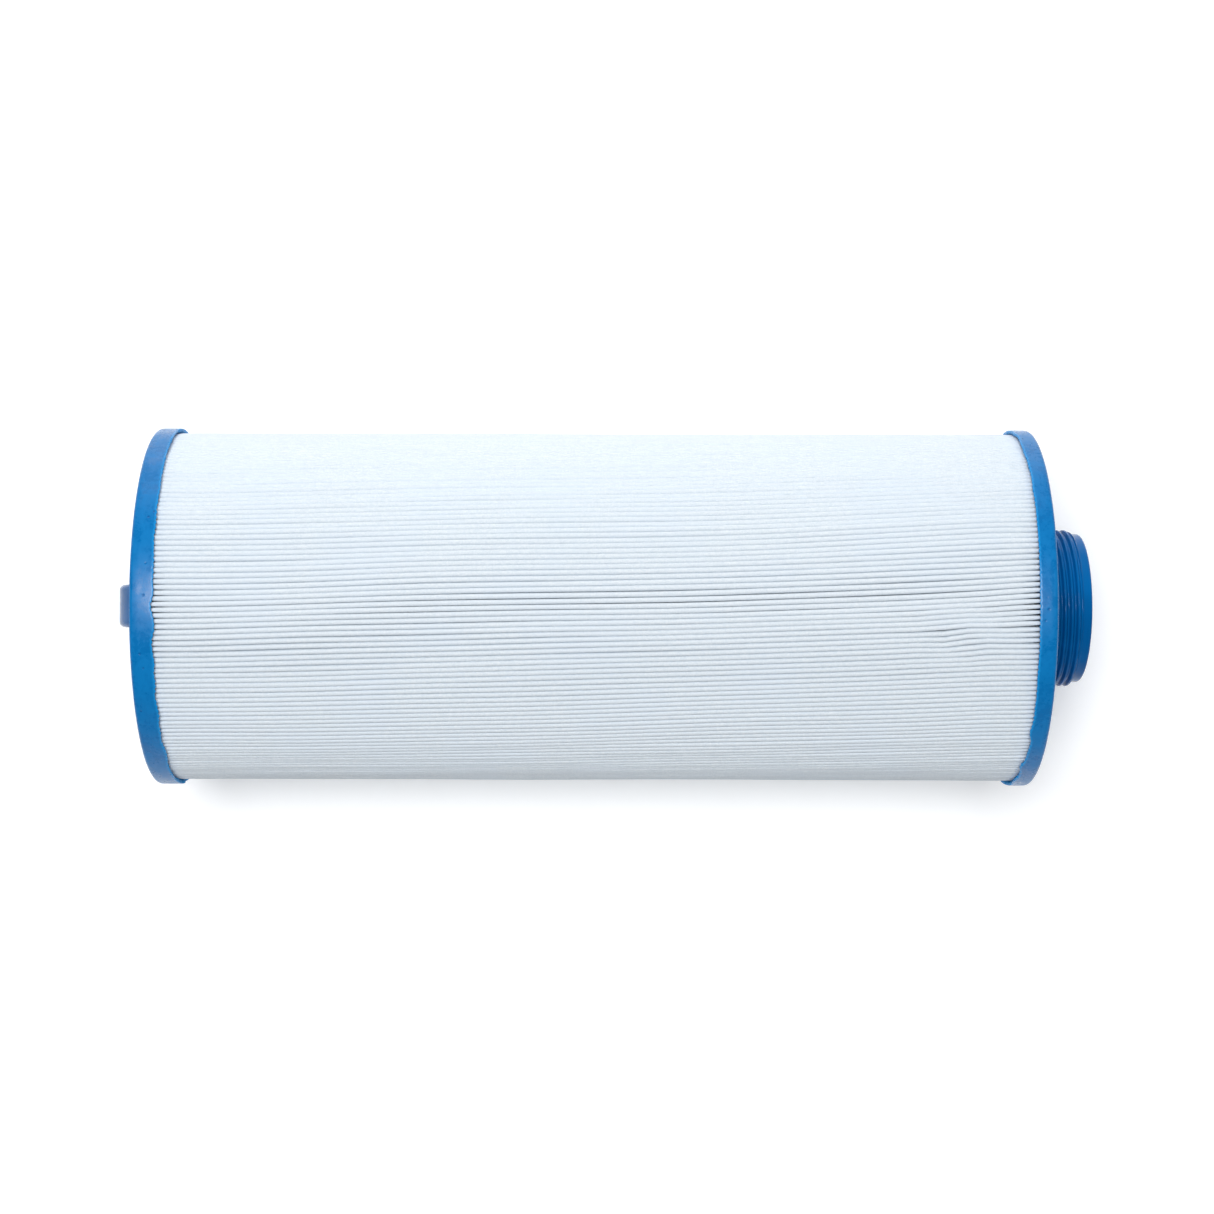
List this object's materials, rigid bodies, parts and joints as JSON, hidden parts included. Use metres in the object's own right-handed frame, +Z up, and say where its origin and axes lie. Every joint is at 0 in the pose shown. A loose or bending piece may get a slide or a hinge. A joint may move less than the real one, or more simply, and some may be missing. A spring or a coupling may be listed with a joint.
{
  "type": "filter cartridge",
  "caption": "Pleated spa filter cartridge with blue cast end caps, a lift handle at one end and a male threaded outlet at the other",
  "frame": {"origin": "on the plane the cartridge lies on, under the middle of its overall box", "axes": "+X runs along the cartridge's axis from the lift handle towards the threaded outlet; +Z is up, away from the plane it lies on; +Y completes the right-handed set"},
  "size_m": [0.338, 0.1254, 0.1254],
  "materials": {
    "cast_resin": "cast polyurethane, glossy, with small pits and smears",
    "moulded_blue": "injection moulded, smooth",
    "moulded_white": "injection moulded, satin",
    "filter_cloth": "stiff spunbond polyester, pleated",
    "seam_glue": "hot-melt glue"
  },
  "bodies": {
    "root": {"handle_cap": "cast_resin", "lift_handle": "moulded_blue", "pleated_media": "filter_cloth", "media_seam": "seam_glue", "outlet_cap": "cast_resin", "threaded_outlet": "moulded_blue", "core_section_1": "moulded_white", "core_section_2": "moulded_white", "core_section_3": "moulded_white", "core_section_4": "moulded_white"}
  },
  "joints": []
}
